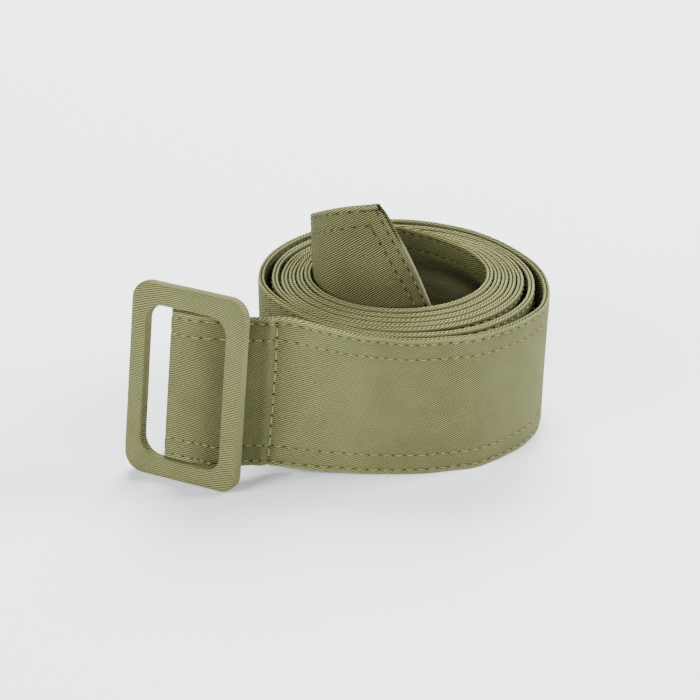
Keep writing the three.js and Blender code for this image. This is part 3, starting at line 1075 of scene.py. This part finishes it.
def make_buckle(finish):
    """The covered frame: a soft-cornered section carried round from the window's outline to the outer one.

    With a from 0 to 2 pi round the section, the share from window to outside is 1/2 + c/2 and the way
    through is half the thickness times s, where c and s are cos a and sin a to the power 2/5.5. The slack is
    a product of two sine waves. The twill lies flat on the front, is pulled askew toward the corners by
    ASKEW x^2 z, and wraps straight round both sides.
    """
    width, height, thick = BUCKLE_SIZE
    left, right, top, bottom = BUCKLE_SIDES
    outer = rounded_loop(-width / 2, width / 2, 0, height, OUTER_RADII)
    inner = rounded_loop(left - width / 2, width / 2 - right, bottom, height - top, INNER_RADII)
    angle = np.arange(SECTION_POINTS) * 2 * np.pi / SECTION_POINTS - np.pi / 2
    ways = np.cos(angle), np.sin(angle)
    cosine, sine = [np.sign(way) * np.abs(way) ** (2 / SECTION_POWER) for way in ways]
    share = (0.5 + 0.5 * cosine)[None, :, None]
    flat = inner[:, None] * (1 - share) + outer[:, None] * share
    x, z = flat[..., 0], flat[..., 1]
    slack = COVER_SLACK * np.sin(x / 5.1 + z / 7.3) * np.sin(z / 4.7 - x / 9.1)
    deep = (thick / 2 + COVER + slack) * sine
    lean = math.radians(BUCKLE_LEAN)
    foot_x, foot_y, rise = BUCKLE_FOOT
    points = MM * np.stack([
        x + foot_x + COIL_MIDDLE[0],
        deep * math.cos(lean) + z * math.sin(lean) + foot_y + COIL_MIDDLE[1],
        np.maximum(z * math.cos(lean) - deep * math.sin(lean) + rise, 0),
    ], -1)
    steps = np.hypot(np.diff(MAP_BAND / 2 * cosine), np.diff(thick / 2 * sine))
    arc = np.concatenate([[0], np.cumsum(steps), [np.sum(steps) + steps[0]]])
    arc = np.where(arc > arc[-1] / 2, arc - arc[-1], arc)
    on_front = np.clip(arc, -MAP_BAND / 2, MAP_BAND / 2)[:, None]
    beyond = arc[:, None] - on_front
    ring, side = [corner[:, :, ::-1] for corner in face_corners(len(outer), len(angle), closed=True)]
    ring = ring % len(outer)
    reach = (outer - inner) / MAP_BAND
    places = ((inner + outer) / 2)[ring] + reach[ring] * on_front[side] + unit(reach)[ring] * beyond[side]
    places[..., 1] -= height / 2
    places[..., 1] -= ASKEW * places[..., 0] ** 2 * places[..., 1]
    faces = ring_faces(len(outer), len(angle), closed=True)[:, :, ::-1]
    return add_mesh("buckle_cover", points, faces.reshape(-1, 4), finish, cloth=places.reshape(-1, 4, 2))


class BELT_OT_bar(bpy.types.Operator):
    """Finishes the plain bar that the belt folds round"""

    bl_idname = "belt.bar"
    bl_label = "Centre bar"

    def execute(self, context):
        plastic = Finish("bar_plastic")
        grain = plastic.grain(2500.0, 3.0)
        # The bar's near-black colour is painted shade.
        colour = plastic.shades(0.42 + grain * 0.16, context.scene.belt_colours.bar)
        finish = plastic.surface(colour, 0.5 + grain * 0.15, grain, GRAIN_DEPTH, 0.15)
        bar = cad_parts["centre_bar"]
        bar.data.materials.clear()
        bar.data.materials.append(finish)
        return {"FINISHED"}


class BELT_OT_stage(bpy.types.Operator):
    """Sets the floor, the lights and the camera"""

    bl_idname = "belt.stage"
    bl_label = "Stage"

    def execute(self, context):
        make_floor(context.scene.belt_colours)
        make_lights()
        make_camera()
        return {"FINISHED"}


# The stage is in metres, the camera's lens in millimetres, and the lamps' power in watts.
FLOOR_RADIUS = 6.0
FLOOR_POINTS = 64
FLOOR_DROP = 0.0001
CAMERA_PLACE = (0.3987, -0.7792, 0.4462)
CAMERA_TARGET = (-0.0332, 0.0506, 0.0)
CAMERA_LENS = 144.0

# Columns: name, place, power, side of the square lamp.
LAMPS = (
    ("back_lamp", (-0.6, 1.2, 1.5), 116, 1.2),
    ("right_lamp", (1.4, 1.2, 1.2), 116, 1.0),
    ("left_lamp", (-0.8, -1.8, 1.2), 82, 1.0),
    ("low_front_lamp", (0.6, -2.0, 0.45), 20, 0.8),
    ("low_right_lamp", (1.9, -0.6, 0.45), 20, 0.8),
)


def make_floor(colours):
    """A disc: its radius times the cosine and the sine of the angle."""
    angle = np.arange(FLOOR_POINTS) * 2 * np.pi / FLOOR_POINTS
    ring = FLOOR_RADIUS * np.column_stack([np.cos(angle), np.sin(angle)])
    points = np.column_stack([ring, np.full(len(ring), -FLOOR_DROP)])
    paper = Finish("pale_floor")
    grain = paper.grain(3.0, 2.0)
    colour = paper.shades(0.49 + grain * 0.02, colours.floor)
    finish = paper.surface(colour, 0.6, grain, 0.0, 0.2)
    floor = add_mesh("floor", points, [list(range(len(angle)))], finish)


def aim(thing, place, target):
    """Puts a lamp or the camera in place, facing its target."""
    thing.location = place
    way = Vector(target) - Vector(place)
    thing.rotation_euler = way.to_track_quat("-Z", "Y").to_euler()


def make_lights():
    for name, place, power, side in LAMPS:
        lamp = bpy.data.lights.new(name, "AREA")
        lamp.energy = power
        lamp.size = side
        aim(add_object(name, lamp), place, (0, 0, 0.03))
    world = bpy.data.worlds.new("studio")
    world.use_nodes = True
    back = world.node_tree.nodes["Background"]
    back.inputs["Color"].default_value = (0.94, 0.96, 1, 1)
    back.inputs["Strength"].default_value = 0.04
    bpy.context.scene.world = world


def make_camera():
    camera = bpy.data.cameras.new("camera")
    camera.lens = CAMERA_LENS
    camera.sensor_width = 36
    bpy.context.scene.camera = add_object("camera", camera)
    aim(bpy.context.scene.camera, CAMERA_PLACE, CAMERA_TARGET)


class BELT_PT_panel(bpy.types.Panel):
    """Lists the belt's pieces, sizes and colours"""

    bl_label = "Coat belt"
    bl_space_type = "VIEW_3D"
    bl_region_type = "UI"
    bl_category = "Coat belt"

    def draw(self, context):
        for operator in OPERATORS:
            self.layout.operator(operator.bl_idname)
        for group in (context.scene.belt_sizes, context.scene.belt_colours):
            for name in group.bl_rna.properties.keys():
                if name not in ("rna_type", "name"):
                    self.layout.prop(group, name)


OPERATORS = (BELT_OT_stage, BELT_OT_strap, BELT_OT_stitches, BELT_OT_buckle, BELT_OT_bar)
CLASSES = (BeltSizes, BeltColours, *OPERATORS, BELT_PT_panel)


def register():
    for one in CLASSES:
        bpy.utils.register_class(one)
    bpy.types.Scene.belt_sizes = PointerProperty(type=BeltSizes)
    bpy.types.Scene.belt_colours = PointerProperty(type=BeltColours)


def unregister():
    del bpy.types.Scene.belt_colours
    del bpy.types.Scene.belt_sizes
    for one in reversed(CLASSES):
        bpy.utils.unregister_class(one)


def main():
    register()
    bpy.ops.belt.stage()
    bpy.ops.belt.strap()
    bpy.ops.belt.stitches()
    bpy.ops.belt.buckle()
    bpy.ops.belt.bar()


if __name__ == "__main__":
    main()
